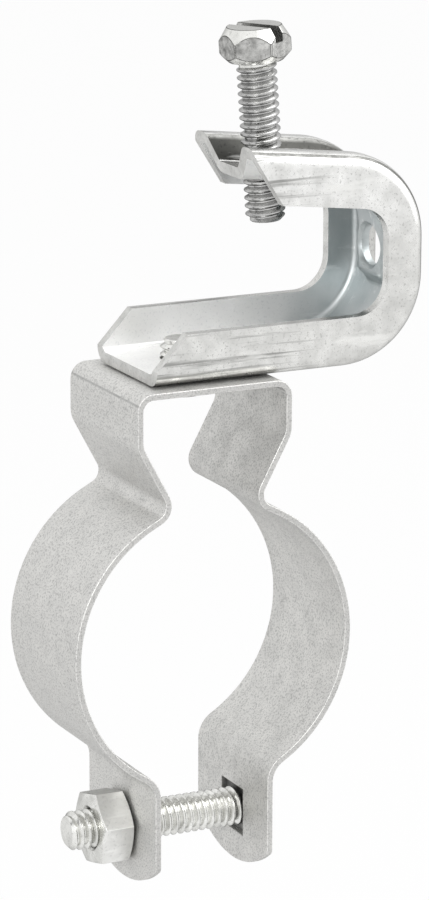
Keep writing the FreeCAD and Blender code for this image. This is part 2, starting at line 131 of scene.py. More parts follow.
def joined(first, other):
    """Two closed shells in one bmesh; the second one is used up."""
    mesh = bpy.data.meshes.new("joined")
    other.to_mesh(mesh)
    other.free()
    first.from_mesh(mesh)
    bpy.data.meshes.remove(mesh)
    return first


# %% [markdown]
# Screw heads and the nut's blank are turned parts. Half of their outline is drawn in a
# plane through the axis, and a full spin closes it, as a lathe would. A cylinder could be
# bevelled instead, but each slope would then need its own step. An outline that doesn't
# touch the axis is a ring, so its two ends are joined first.

# %% Turned blanks
TURN_STEPS = 64


def turned(outline):
    """A closed shape spun about Z from points given as (radius, height) in millimetres."""
    bm = bmesh.new()
    verts = [bm.verts.new((r * MM, 0, z * MM)) for r, z in outline]
    edges = [bm.edges.new(pair) for pair in zip(verts, verts[1:])]
    if min(r for r, z in (outline[0], outline[-1])) > 0:
        edges.append(bm.edges.new((verts[-1], verts[0])))
    bmesh.ops.spin(
        bm, geom=verts + edges, cent=(0, 0, 0), axis=(0, 0, 1), dvec=(0, 0, 0),
        angle=2 * math.pi, steps=TURN_STEPS, use_merge=True,
        use_normal_flip=False, use_duplicate=False,
    )
    return outwards(bm)


print("a turned part has", TURN_STEPS, "sides")

# %% [markdown]
# A hexagon is cut from the turned blank by six planes, just as it is milled or cold
# headed. The sloping rim of the blank leaves the arched corners that every real nut has,
# and no corner has to be worked out by hand.

# %% Hexagons cut from a blank


def sliced(bm, point, normal):
    """Takes away what lies beyond a plane, and closes the cut with one face."""
    cut = bmesh.ops.bisect_plane(
        bm, geom=bm.verts[:] + bm.edges[:] + bm.faces[:], dist=0.0005 * MM,
        plane_co=point, plane_no=normal, clear_outer=True, clear_inner=False,
    )
    rim = [item for item in cut["geom_cut"] if isinstance(item, bmesh.types.BMEdge)]
    bmesh.ops.edgeloop_fill(bm, edges=rim)


def hexagonal(bm, flats, first_corner):
    """Cuts six flats, with the first corner at an angle in degrees from X."""
    for side in range(6):
        angle = math.radians(first_corner + 30 + 60 * side)
        normal = Vector((math.cos(angle), math.sin(angle), 0))
        sliced(bm, normal * flats / 2 * MM, normal)
    return outwards(bm)


# %% [markdown]
# A thread is one profile of nearly sixty degrees, swept along a helix. A bump map could
# fake it, but a thread that stands against a white ground shows its outline. The spin
# operator makes a helix when it also moves a little along the axis at each step. The turns
# meet exactly, so merging the doubles welds them into one skin.

# %% Thread skin
PITCH = 1.27
THREAD_RADIUS = 3.175
THREAD_DEPTH = 0.541 * PITCH
THREAD_STEPS = 40
CREST_FALL = 0.12


def thread_skin(turns):
    """The open skin of a right-hand thread up Z, which starts one pitch below zero."""
    root = THREAD_RADIUS - THREAD_DEPTH
    shoulder = THREAD_RADIUS - CREST_FALL
    profile = [
        (root, 0), (root, 0.07), (shoulder, 0.32), (THREAD_RADIUS, 0.42),
        (THREAD_RADIUS, 0.58), (shoulder, 0.68), (root, 0.93), (root, 1),
    ]
    bm = bmesh.new()
    verts = [bm.verts.new((r * MM, 0, (z - 1) * PITCH * MM)) for r, z in profile]
    edges = [bm.edges.new(pair) for pair in zip(verts, verts[1:])]
    bmesh.ops.spin(
        bm, geom=verts + edges, cent=(0, 0, 0), axis=(0, 0, 1),
        dvec=(0, 0, PITCH * MM / THREAD_STEPS), angle=2 * math.pi * turns,
        steps=turns * THREAD_STEPS, use_merge=False,
        use_normal_flip=False, use_duplicate=False,
    )
    bmesh.ops.remove_doubles(bm, verts=bm.verts, dist=0.01 * MM)
    return bm


print("thread: pitch %.2f mm, depth %.2f mm" % (PITCH, THREAD_DEPTH))

# %% [markdown]
# The rod of a screw is a stretch of that skin. Two planes cut it square and close it, and
# its tip is drawn in by a cone, which is what lets a rolled screw start in its hole.

# %% Threaded rods
TIP_DRAWN_IN = 0.8


def threaded(length):
    """A rod up Z from its tip at zero, with a right-hand thread all along it."""
    bm = thread_skin(math.ceil(length / PITCH) + 2)
    sliced(bm, Vector((0, 0, 0)), Vector((0, 0, -1)))
    sliced(bm, Vector((0, 0, length * MM)), Vector((0, 0, 1)))
    for vert in bm.verts:
        reach = math.hypot(vert.co.x, vert.co.y)
        limit = (THREAD_RADIUS - TIP_DRAWN_IN) * MM + vert.co.z
        if reach > limit:
            vert.co.x *= limit / reach
            vert.co.y *= limit / reach
    return outwards(bm)


# %% [markdown]
# The frame already says where each screw sits. Its joint gives the set screw's leaning
# axis, and the reach of a solid along an axis gives the two ends of the screw, so these
# pieces follow the frame if it ever changes.

# %% Places read from the frame
joints = {joint["name"]: joint for joint in frame["joints"]}


def reach_along(node, point, axis):
    """Lowest and highest place of a node along an axis through a point, in millimetres."""
    places = [(v.co - point).dot(axis) / MM for v in frame["nodes"][node].data.vertices]
    return min(places), max(places)


def standing(point, axis, start):
    """Turns a shape built up Z so that it stands along an axis, a start from a point."""
    turn = Vector((0, 0, 1)).rotation_difference(axis).to_matrix().to_4x4()
    return Matrix.Translation(point + axis * start * MM) @ turn


set_point = Vector(joints["set_screw_feed"]["pos_m"])
set_axis = Vector(joints["set_screw_feed"]["axis"]).normalized()
set_tip, set_top = reach_along("set_screw", set_point, set_axis)

bolt_point = Vector((0, 0, joints["nut_travel"]["pos_m"][2]))
bolt_axis = Vector((-1, 0, 0))
bolt_head, bolt_tip = reach_along("hanger_bolt", bolt_point, bolt_axis)
nut_inner, nut_outer = reach_along("hex_nut", bolt_point, bolt_axis)

saddle_low, saddle_high = reach_along("saddle_screw", Vector(), Vector((0, 0, 1)))
print("set screw %.2f to %.2f mm along its axis" % (set_tip, set_top))
print("bolt %.2f to %.2f mm, nut %.2f to %.2f mm" % (bolt_head, bolt_tip, nut_inner, nut_outer))
print("saddle screw %.2f to %.2f mm" % (saddle_low, saddle_high))

# %% [markdown]
# Zinc on steel is never one even grey. Four effects make most of its look: a cloudy
# mottle, fine dark speckle, short scratches and the long lines that a press draws. Each is
# a node group, built once and placed wherever a finish needs it, and puts out a mask from
# 0 to 1. These three helpers make an empty group, a noise in it and a stretched value.

# %% Node group helpers


def new_group(name, sliders):
    """An empty shader group with named number inputs and one mask output."""
    group = bpy.data.node_groups.new(name, "ShaderNodeTree")
    group.interface.new_socket("Vector", in_out="INPUT", socket_type="NodeSocketVector")
    for label, value in sliders.items():
        socket = group.interface.new_socket(label, in_out="INPUT", socket_type="NodeSocketFloat")
        socket.default_value = value
    group.interface.new_socket("Mask", in_out="OUTPUT", socket_type="NodeSocketFloat")
    source = group.nodes.new("NodeGroupInput")
    drain = group.nodes.new("NodeGroupOutput")
    return group, source, drain


def noise_in(group, vector, scale, detail, roughness):
    """A noise texture in a group, with its scale read from a socket."""
    noise = group.nodes.new("ShaderNodeTexNoise")
    group.links.new(vector, noise.inputs["Vector"])
    group.links.new(scale, noise.inputs["Scale"])
    noise.inputs["Detail"].default_value = detail
    noise.inputs["Roughness"].default_value = roughness
    return noise.outputs["Fac"]


def between(tree, value, low, high):
    """Stretches a value so that low becomes 0 and high becomes 1, and no further."""
    node = tree.nodes.new("ShaderNodeMapRange")
    tree.links.new(value, node.inputs["Value"])
    node.inputs["From Min"].default_value = low
    node.inputs["From Max"].default_value = high
    return node.outputs["Result"]


# %% [markdown]
# Mottle is one soft noise, a change of tone over a few millimetres. Speckle takes a much
# finer noise and keeps only its highest peaks; its threshold says how high a peak must
# be, so a galvanised strip can have more specks than plated sheet.

# %% Mottle and speckle
mottle, ins, outs = new_group("Mottle", {"Scale": 220.0})
cloud = noise_in(mottle, ins.outputs["Vector"], ins.outputs["Scale"], 4, 0.55)
mottle.links.new(between(mottle, cloud, 0.32, 0.68), outs.inputs["Mask"])

speckle, ins, outs = new_group("Speckle", {"Scale": 2600.0, "Threshold": 0.57})
grains = noise_in(speckle, ins.outputs["Vector"], ins.outputs["Scale"], 2, 0.6)
above = speckle.nodes.new("ShaderNodeMath")
above.operation = "SUBTRACT"
speckle.links.new(grains, above.inputs[0])
speckle.links.new(ins.outputs["Threshold"], above.inputs[1])
speckle.links.new(between(speckle, above.outputs[0], 0.0, 0.13), outs.inputs["Mask"])
print("groups:", mottle.name, speckle.name)

# %% [markdown]
# Scratches need a direction. A Mapping node squeezes the coordinates along X before the
# noise reads them, so that its blobs become long streaks. A small turn keeps them from
# lying square to the piece, as handling marks never do.

# %% Scratches
scratches, ins, outs = new_group("Scratches", {"Scale": 900.0})
squeeze = scratches.nodes.new("ShaderNodeMapping")
squeeze.inputs["Scale"].default_value = (0.12, 1.0, 0.55)
squeeze.inputs["Rotation"].default_value = (0.1, 0.25, 0.35)
scratches.links.new(ins.outputs["Vector"], squeeze.inputs["Vector"])
streaks = noise_in(scratches, squeeze.outputs["Vector"], ins.outputs["Scale"], 3, 0.65)
scratches.links.new(between(scratches, streaks, 0.60, 0.72), outs.inputs["Mask"])
print("group:", scratches.name)

# %% [markdown]
# Where the clamp's arms slid through the press they carry long straight lines, and these
# stop before the spine. The same squeezed noise makes them, stretched much further, and
# the distance left to the End value fades them out.

# %% Drawn lines
LINES_FADE = 10 * MM
drawn, ins, outs = new_group("DrawnLines", {"Scale": 900.0, "End": 0.022})
stretch = drawn.nodes.new("ShaderNodeMapping")
stretch.inputs["Scale"].default_value = (0.03, 0.6, 1.0)
drawn.links.new(ins.outputs["Vector"], stretch.inputs["Vector"])
streaks = noise_in(drawn, stretch.outputs["Vector"], ins.outputs["Scale"], 3, 0.6)

apart = drawn.nodes.new("ShaderNodeSeparateXYZ")
drawn.links.new(ins.outputs["Vector"], apart.inputs[0])
left = drawn.nodes.new("ShaderNodeMath")
left.operation = "SUBTRACT"
drawn.links.new(ins.outputs["End"], left.inputs[0])
drawn.links.new(apart.outputs["X"], left.inputs[1])

fade = drawn.nodes.new("ShaderNodeMath")
fade.operation = "MULTIPLY"
drawn.links.new(between(drawn, left.outputs[0], 0.0, LINES_FADE), fade.inputs[0])
drawn.links.new(between(drawn, streaks, 0.52, 0.66), fade.inputs[1])
drawn.links.new(fade.outputs[0], outs.inputs["Mask"])
print("group:", drawn.name)

# %% [markdown]
# Each finish lays these effects over one another, like coats of paint. One helper places a group
# in a material, one mixes a tone over another through a mask, and one lets a tone drift into
# another with the distance from the middle, which is how painted light and painted shade are laid
# on here.

# %% Tones laid over one another


def stamped(tree, group, place, **sliders):
    """The mask of a group that is placed in a material with its own values."""
    node = tree.nodes.new("ShaderNodeGroup")
    node.node_tree = group
    for label, value in sliders.items():
        node.inputs[label].default_value = value
    tree.links.new(place, node.inputs["Vector"])
    return node.outputs["Mask"]


def mixed(tree, mask, strength, below, above):
    """One tone over another through a mask; a tone is a colour or a socket."""
    weight = tree.nodes.new("ShaderNodeMath")
    weight.operation = "MULTIPLY"
    weight.inputs[1].default_value = strength
    tree.links.new(mask, weight.inputs[0])
    node = tree.nodes.new("ShaderNodeMix")
    node.data_type = "RGBA"
    tree.links.new(weight.outputs[0], node.inputs["Factor"])
    for socket, value in ((node.inputs[6], below), (node.inputs[7], above)):
        if isinstance(value, tuple):
            socket.default_value = (*value, 1)
        else:
            tree.links.new(value, socket)
    return node.outputs[2]


def drifted(tree, place, tone, drifts):
    """A tone that turns into others; each drift is (axis, other tone, from mm, to mm)."""
    for axis, other, low, high in drifts:
        split = tree.nodes.new("ShaderNodeSeparateXYZ")
        tree.links.new(place, split.inputs[0])
        away = tree.nodes.new("ShaderNodeMath")
        away.operation = "ABSOLUTE"
        tree.links.new(split.outputs[axis], away.inputs[0])
        tone = mixed(tree, between(tree, away.outputs[0], low * MM, high * MM), 1.0, tone, other)
    return tone


# %% [markdown]
# A dull patch of zinc is also a rougher one, so roughness follows the mottle. The specks
# make the skin a little uneven too. They are far too fine to be worth modelling, so their
# mask feeds a Bump node, which only bends the light.

# %% Uneven gloss and relief
SPECK_HEIGHT = 0.03 * MM


def unevenly(tree, shader, cloud, grains, rough, bump):
    """Ties a shader's roughness to one mask and its relief to another."""
    dullness = tree.nodes.new("ShaderNodeMapRange")
    dullness.inputs["To Min"].default_value = rough[0]
    dullness.inputs["To Max"].default_value = rough[1]
    tree.links.new(cloud, dullness.inputs["Value"])
    tree.links.new(dullness.outputs["Result"], shader.inputs["Roughness"])
    relief = tree.nodes.new("ShaderNodeBump")
    relief.inputs["Strength"].default_value = bump
    relief.inputs["Distance"].default_value = SPECK_HEIGHT
    tree.links.new(grains, relief.inputs["Height"])
    tree.links.new(relief.outputs["Normal"], shader.inputs["Normal"])


# %% [markdown]
# The metals are all one recipe with other numbers: a Principled surface, fully metallic,
# whose colour moves between a clean and a dull tone with the mottle, darkens in the drawn
# lines and the specks, and brightens in the scratches. One recipe keeps the six pieces
# alike, as parts from one maker are.

# %% The metal recipe
LINE_SCALE = 1300.0
LINE_SHADE = 0.6
SCRATCH_SHINE = 1.12


def metal(
    name, clean, dull, speck, rough, marks, scales, bump=0.15, drifts=(), lines=0.0,
    threshold=0.57, rim=0.55,
):
    """A zinc finish of two tones, with dark specks, bright scratches and drawn lines.

    Marks are the strengths of mottle, specks and scratches, and scales their sizes.
    Lines is the strength of the drawn lines. A lower threshold lets more specks through.
    Rim darkens what is seen at a low angle.
    """
    made = bpy.data.materials.new(name)
    made.use_nodes = True
    tree = made.node_tree
    shader = tree.nodes["Principled BSDF"]
    shader.inputs["Metallic"].default_value = 1.0
    shader.inputs["Specular Tint"].default_value = (rim, rim, rim, 1)
    place = tree.nodes.new("ShaderNodeTexCoord").outputs["Object"]
    cloud = stamped(tree, mottle, place, Scale=scales[0])
    grains = stamped(tree, speckle, place, Scale=scales[1], Threshold=threshold)
    nicks = stamped(tree, scratches, place, Scale=scales[2])

    tone = mixed(tree, cloud, marks[0], drifted(tree, place, clean, drifts), dull)
    if lines:
        shade = tuple(LINE_SHADE * value for value in dull)
        tone = mixed(tree, stamped(tree, drawn, place, Scale=LINE_SCALE), lines, tone, shade)
    tone = mixed(tree, grains, marks[1], tone, speck)
    shine = tuple(min(1.0, SCRATCH_SHINE * value) for value in clean)
    tone = mixed(tree, nicks, marks[2], tone, shine)
    tree.links.new(tone, shader.inputs["Base Color"])
    unevenly(tree, shader, cloud, grains, rough, bump)
    return made


# %% [markdown]
# The clamp is bright plated sheet, scratched by handling. Along its upper arm it is painted nearly
# white, a painted highlight. Inside the channel its skin is painted paler, as painted light, and
# turns blue grey towards the spine, as painted shade. Drifts along Z and X do that. A painted
# picture could, too, but it would need the surface to be unwrapped first.

# %% Skins of the clamp
# The outer skin: real mottle, specks, scratches and drawn lines, with a painted highlight that
# turns it nearly white from 10 mm up.
clamp_skin_and_painted_highlight = metal(
    "clamp_skin_and_painted_highlight", clean=(0.80, 0.80, 0.78), dull=(0.44, 0.44, 0.425), speck=(0.28, 0.28, 0.27),
    rough=(0.22, 0.36), marks=(0.50, 0.45, 0.75), scales=(380.0, 2600.0, 700.0), lines=0.95,
    drifts=[("Z", (0.96, 0.96, 0.945), 10.0, 20.0)],
)
# The inner skin: painted light, paler than the outside, and painted shade, blue grey towards the
# spine.
clamp_inside_painted_light = metal(
    "clamp_inside_painted_light", clean=(0.945, 0.945, 0.935), dull=(0.80, 0.80, 0.80), speck=(0.55, 0.57, 0.58),
    rough=(0.38, 0.5), marks=(0.4, 0.35, 0.35), scales=(170.0, 2600.0, 900.0),
    drifts=[("X", (0.44, 0.48, 0.485), 22.0, 31.0)], rim=0.9,
)
print("skins:", clamp_skin_and_painted_highlight.name, clamp_inside_painted_light.name)

# %% [markdown]
# The steep walls of the valley are painted dark, most of all along the upper arm, as a painted
# reflection of dark surroundings. A painted dark line runs along the outer bend, also a painted
# reflection. The sheared ends are dull, and the rounding of every edge is painted dark, a painted
# shade.
# Each of these is a finish of its own, because its place on the sheet is sharply bounded.

# %% Painted reflection, painted shade and sheared ends
# Painted reflection: the valley walls are dark, darkest along the upper arm and lighter near the
# top of each wall.
valley_wall_painted_reflection = metal(
    "valley_wall_painted_reflection", clean=(0.72, 0.72, 0.70), dull=(0.08, 0.08, 0.075), speck=(0.04, 0.04, 0.04),
    rough=(0.34, 0.5), marks=(0.35, 0.6, 0.5), scales=(420.0, 1700.0, 900.0), bump=0.3,
    drifts=[("Z", (0.075, 0.075, 0.07), 15.0, 22.0), ("Y", (0.42, 0.42, 0.405), 5.7, 6.3)],
)
# Painted reflection: a dark line along the outer bend, just before the crest.
crest_painted_reflection = metal(
    "crest_painted_reflection", clean=(0.85, 0.85, 0.83), dull=(0.12, 0.12, 0.115), speck=(0.06, 0.06, 0.06),
    rough=(0.34, 0.5), marks=(0.5, 0.5, 0.3), scales=(900.0, 2400.0, 900.0),
    drifts=[("Z", (0.26, 0.26, 0.25), 0.0, 8.0)],
)
sheared_zinc = metal(
    "sheared_zinc", clean=(0.80, 0.80, 0.78), dull=(0.50, 0.50, 0.485), speck=(0.30, 0.30, 0.29),
    rough=(0.36, 0.5), marks=(0.7, 0.4, 0.4), scales=(320.0, 2300.0, 900.0),
)
# Painted shade: a dark finish for the narrow roundings along edges.
edge_painted_shade = metal(
    "edge_painted_shade", clean=(0.24, 0.24, 0.23), dull=(0.06, 0.06, 0.06), speck=(0.04, 0.04, 0.04),
    rough=(0.34, 0.5), marks=(1.0, 0.5, 0.6), scales=(600.0, 2400.0, 900.0),
)
print("marks:", valley_wall_painted_reflection.name, crest_painted_reflection.name, sheared_zinc.name, edge_painted_shade.name)

# %% [markdown]
# The strap was galvanised before it was bent, so it is matte, greyer and full of fine dark specks.
# A thin crease runs across each side of the saddle, and a dark line is painted along it, a painted
# shade in the crease. It could be a line drawn on an unwrapped strip, but two drifts make it at
# once: the first darkens the tone and the next brings it back.

# %% Finishes of the strap
STRAP_TONE = (0.775, 0.77, 0.75)
# Real galvanised specks and mottle, with a painted shade line along the saddle's crease from the
# two Z drifts.
strap_skin_and_crease_shade = metal(
    "strap_skin_and_crease_shade", clean=STRAP_TONE, dull=(0.63, 0.63, 0.62), speck=(0.33, 0.33, 0.325),
    rough=(0.50, 0.62), marks=(0.5, 0.55, 0.3), scales=(260.0, 3300.0, 1400.0), bump=0.25,
    threshold=0.50, drifts=[("Z", (0.46, 0.46, 0.45), 9.9, 10.05), ("Z", STRAP_TONE, 10.15, 10.4)],
)
strap_edge = metal(
    "strap_edge", clean=(0.62, 0.615, 0.60), dull=(0.50, 0.50, 0.49), speck=(0.28, 0.28, 0.275),
    rough=(0.50, 0.62), marks=(0.5, 0.5, 0.3), scales=(260.0, 3300.0, 1400.0), bump=0.25,
    threshold=0.50,
)
print("strap:", strap_skin_and_crease_shade.name, strap_edge.name)

# %% [markdown]
# The screws, the bolt and the nut are plated too, a little warmer and shinier than the sheet. The
# flats of the set screw's head are painted darker than its rims, a painted shade. A wrench has
# dulled the flats of the nut a little. The set screw's thread is painted greyer than its crown, a
# painted shade for its grooves.

# %% Finishes of the screws
bright_zinc = metal(
    "bright_zinc", clean=(0.90, 0.90, 0.875), dull=(0.58, 0.58, 0.555), speck=(0.30, 0.30, 0.285),
    rough=(0.16, 0.32), marks=(0.65, 0.35, 0.5), scales=(420.0, 1900.0, 1100.0),
)
nut_zinc = metal(
    "nut_zinc", clean=(0.88, 0.88, 0.86), dull=(0.64, 0.64, 0.62), speck=(0.40, 0.40, 0.39),
    rough=(0.28, 0.42), marks=(0.6, 0.3, 0.5), scales=(420.0, 1900.0, 900.0),
)
# Painted shade: the set screw head's upright flats, darker than its rims.
flats_painted_shade = metal(
    "flats_painted_shade", clean=(0.60, 0.60, 0.585), dull=(0.16, 0.16, 0.155), speck=(0.12, 0.12, 0.115),
    rough=(0.20, 0.40), marks=(0.85, 0.45, 0.9), scales=(900.0, 1900.0, 900.0), bump=0.3,
)
# Painted shade: the set screw's whole thread, greyer than its head.
thread_painted_shade = metal(
    "thread_painted_shade", clean=(0.60, 0.60, 0.59), dull=(0.34, 0.34, 0.34), speck=(0.18, 0.18, 0.18),
    rough=(0.18, 0.32), marks=(0.7, 0.4, 0.6), scales=(380.0, 1900.0, 900.0),
)
print("screws:", bright_zinc.name, nut_zinc.name, flats_painted_shade.name, thread_painted_shade.name)

# %% [markdown]
# The clamp and the strap are sheet metal, and the frame's solids already have their bends.
# Building the same bends again would add nothing to look at, so these two shapes are
# copied. A solid comes as loose triangles. Merging and dissolving turns the copy into
# clean faces, because a bevel needs faces that share their edges.

# %% Sheet metal from the frame


def sheet_copy(node):
    """The shape of a solid as merged faces, with one face for each flat area."""
    bm = bmesh.new()
    bm.from_mesh(frame["nodes"][node].data)
    bmesh.ops.remove_doubles(bm, verts=bm.verts, dist=0.001 * MM)
    bmesh.ops.dissolve_limit(
        bm, angle_limit=math.radians(0.5), use_dissolve_boundaries=False,
        verts=bm.verts, edges=bm.edges, delimit={"NORMAL"},
    )
    return bm


# %% [markdown]
# The clamp has five looks: the rubbed skin outside, with a painted highlight along its upper arm;
# the inner skin of the channel, with painted light and painted shade; the walls of the valley,
# painted dark as a painted reflection; a painted dark line on the outer bend, also a painted
# reflection; and the sheared ends of the arms. Their faces could be picked by hand in Edit Mode. A
# test of where a face lies and which way it looks does the same, and it can be read and changed
# later.
# Steepness is the share of a face's normal that looks sideways, along Y.

# %% Which face is which
JAW_MIDDLE = Vector((8, 0, 9)) * MM
ENDS_BEFORE = 10.0 * MM
ENDS_LOOK_OUT = 0.6
FLANGE_INSIDE = 9.4 * MM
VALLEY_TOP = 7.0 * MM
VALLEY_STEEPNESS = (0.5, 0.9)
CREST_FROM = 7.2 * MM
CREST_STEEPNESS = (0.527, 0.724)


def is_end(face):
    """A sheared face at the open end of an arm."""
    return face.normal.x < -ENDS_LOOK_OUT and face.calc_center_median().x < ENDS_BEFORE


def is_inside(face):
    """A face of the channel's inner skin, which looks at the jaw."""
    middle = face.calc_center_median()
    return abs(middle.y) < FLANGE_INSIDE and face.normal.dot(JAW_MIDDLE - middle) > 0


def is_valley_wall(face):
    """A steep face of the outer skin, low in the pressed valley."""
    low, high = VALLEY_STEEPNESS
    return abs(face.calc_center_median().y) < VALLEY_TOP and low < abs(face.normal.y) < high


def is_crest_line(face):
    """A narrow face of the outer bend, just before the crest."""
    middle = face.calc_center_median()
    low, high = CREST_STEEPNESS
    return middle.z > 0 and abs(middle.y) > CREST_FROM and low < abs(face.normal.y) < high


# %% [markdown]
# Three kinds of edge are rounder than a sheared one is: the mouth of the valley, the
# hollow fold where each flange meets the web, and the short ramp at the foot of the spine.
# The Bevel modifier treats all sharp edges alike, so these get their own roundings in the
# mesh, and one test for each says which edges belong.

# %% Which edge is which
MOUTH_PLACE = (4.6 * MM, 7.6 * MM)
MOUTH_ANGLE = (math.radians(35), math.radians(65))
FOLD_PLACE = 9.3 * MM
FOLD_ANGLE = math.radians(60)
RAMP_FROM = 32.5 * MM
RAMP_HEIGHTS = (1.8 * MM, 4.35 * MM)
RAMP_HALF_WIDTH = 6.0 * MM
RAMP_ANGLE = math.radians(30)


def from_middle(edge):
    """How far the middle of an edge is from the clamp's middle plane."""
    return abs((edge.verts[0].co + edge.verts[1].co).y / 2)


def is_mouth_edge(edge):
    """An edge of the outer skin between the crest and a wall of the valley."""
    if len(edge.link_faces) != 2 or any(is_inside(face) for face in edge.link_faces):
        return False
    if not MOUTH_PLACE[0] < from_middle(edge) < MOUTH_PLACE[1]:
        return False
    return MOUTH_ANGLE[0] < edge.calc_face_angle() < MOUTH_ANGLE[1]


def is_inner_fold(edge):
    """A hollow edge where the inside of a flange meets the web."""
    if len(edge.link_faces) != 2 or edge.is_convex:
        return False
    return abs(from_middle(edge) - FOLD_PLACE) <= 0.1 * MM and edge.calc_face_angle() > FOLD_ANGLE


def is_on_ramp(vert):
    """A point of the ramp where the valley runs out at the foot of the spine."""
    x, y, z = vert.co
    return x > RAMP_FROM and RAMP_HEIGHTS[0] < z < RAMP_HEIGHTS[1] and abs(y) < RAMP_HALF_WIDTH


def is_valley_end(edge):
    """A sharp edge of that ramp, inside the channel."""
    if len(edge.link_faces) != 2 or edge.calc_face_angle() < RAMP_ANGLE:
        return False
    return all(map(is_inside, edge.link_faces)) and all(map(is_on_ramp, edge.verts))


# %% [markdown]
# Now the clamp takes its three roundings, one after the other, and then every face gets its
# finish. The edges that are still sharp were sheared. The modifier rounds them by a fifth of a
# millimetre, and paints the narrow faces it makes dark, a painted shade along every edge.

# %% Formed clamp
CLAMP_FINISHES = [clamp_skin_and_painted_highlight, clamp_inside_painted_light, valley_wall_painted_reflection, edge_painted_shade, sheared_zinc, crest_painted_reflection]
ROUNDINGS = ((is_mouth_edge, 0.9), (is_inner_fold, 1.1), (is_valley_end, 0.5))


def clamp_finish(face):
    """The finish that suits a face of the clamp."""
    if is_end(face):
        return sheared_zinc
    if is_inside(face):
        return clamp_inside_painted_light
    if is_valley_wall(face):
        return valley_wall_painted_reflection
    return crest_painted_reflection if is_crest_line(face) else clamp_skin_and_painted_highlight


pressed = sheet_copy("beam_clamp")
for belongs, offset in ROUNDINGS:
    folds = [edge for edge in pressed.edges if belongs(edge)]
    print("%d edges rounded by %.1f mm" % (len(folds), offset))
    bmesh.ops.bevel(
        pressed, geom=folds, offset=offset * MM, offset_type="OFFSET", segments=4,
        profile=0.5, affect="EDGES", clamp_overlap=False, material=-1,
    )
    pressed.normal_update()
bmesh.ops.dissolve_degenerate(pressed, dist=0.003 * MM, edges=pressed.edges)
for face in pressed.faces:
    face.material_index = CLAMP_FINISHES.index(clamp_finish(face))
clamp = piece("formed_clamp", pressed, "clamp", "beam_clamp", "clamp_zinc", *CLAMP_FINISHES)
# The roundings of the sheared edges get the dark finish, a painted shade.
soften(
    clamp, width=0.22 * MM, sharp=40, segments=3, edge_material=CLAMP_FINISHES.index(edge_painted_shade),
)

# %% [markdown]
# The strap is one long strip, bent cold into a saddle, a neck and a ring. Both of its wide faces
# keep the matte coat. Its two long edges were sheared, and they are a little darker.
# Wherever the strap bends they look along the conduit, so their normals tell them apart.

# %% Strap hanger
EDGE_LOOKS_SIDEWAYS = 0.9
STRAP_FINISHES = [strap_skin_and_crease_shade, strap_edge]
bent = sheet_copy("conduit_hanger")
for face in bent.faces:
    if abs(face.normal.y) > EDGE_LOOKS_SIDEWAYS:
        face.material_index = STRAP_FINISHES.index(strap_edge)
strap = piece("strap_hanger", bent, "hanger", "conduit_hanger", "strap_zinc", *STRAP_FINISHES)
soften(strap, width=0.14 * MM, sharp=40, edge_material=STRAP_FINISHES.index(strap_skin_and_crease_shade))

# %% [markdown]
# A driver slot is a real cut through a closed head. A boolean takes a bar out of it, which
# leaves crisp walls wherever the bar crosses the sloping rim. Pushing faces down would do
# for a flat head, but here the rim's faces would first have to be cut to fit the slot. A
# boolean modifier works between two objects, so the helper makes them for a moment and
# keeps only the result.

# %% A driver slot


def bar(length, width, depth, height):
    """A bar along X whose lower face lies at a height, deep enough to cut a slot."""
    bm = bmesh.new()
    bmesh.ops.create_cube(bm, size=MM)
    bmesh.ops.scale(bm, vec=(length, width, 2 * depth), verts=bm.verts)
    bmesh.ops.translate(bm, vec=(0, 0, (height + depth) * MM), verts=bm.verts)
    return bm


def cut_away(bm, cutter):
    """What is left of one closed shape once another is taken out of it."""
    pair = []
    for name, shape in (("blank", bm), ("cutter", cutter)):
        mesh = bpy.data.meshes.new(name)
        shape.to_mesh(mesh)
        shape.free()
        pair.append(bpy.data.objects.new(name, mesh))
        scene.collection.objects.link(pair[-1])
    blank, tool = pair
    cut = blank.modifiers.new("cut", "BOOLEAN")
    cut.operation = "DIFFERENCE"
    cut.solver = "EXACT"
    cut.object = tool
    seen = blank.evaluated_get(bpy.context.evaluated_depsgraph_get())
    kept = bmesh.new()
    kept.from_mesh(seen.data)
    for helper in pair:
        mesh = helper.data
        bpy.data.objects.remove(helper)
        bpy.data.meshes.remove(mesh)
    return kept


# %% [markdown]
# A head gets two kinds of painted shade: its upright flats are painted darker, and a thin dark
# line is painted along each edge. The flats are told by their size and by standing upright. The
# line is a bevel in the mesh, whose new faces get a finish of their own.

# %% Flats and lined edges
SMALLEST_FLAT = 3 * MM ** 2
UPRIGHT = 0.05


def mark_flats(bm, number):
    """Gives a material number to the upright flats of a shape built up Z."""
    for face in bm.faces:
        if abs(face.normal.z) < UPRIGHT and face.calc_area() > SMALLEST_FLAT:
            face.material_index = number


def lined(bm, width, sharp, number):
    """Rounds the sharp edges of a shape, and gives the roundings a material number."""
    edges = [edge for edge in bm.edges if edge.calc_face_angle(0) > math.radians(sharp)]
    made = bmesh.ops.bevel(
        bm, geom=edges, offset=width, offset_type="OFFSET", segments=2,
        profile=0.5, affect="EDGES", clamp_overlap=True, material=-1,
    )
    for face in made["faces"]:
        face.material_index = number


# %% [markdown]
# The set screw's head is just under 10 mm over its flats and 5.5 mm high, with a flat crown
# inside a sloping rim and a narrow neck below, where the thread ends. It is turned, cut to
# a hexagon and slotted in that order, as in the shop. The slot is almost 2 mm wide, so that
# a big driver can turn it as well as a wrench, and it stopped askew to the clamp.

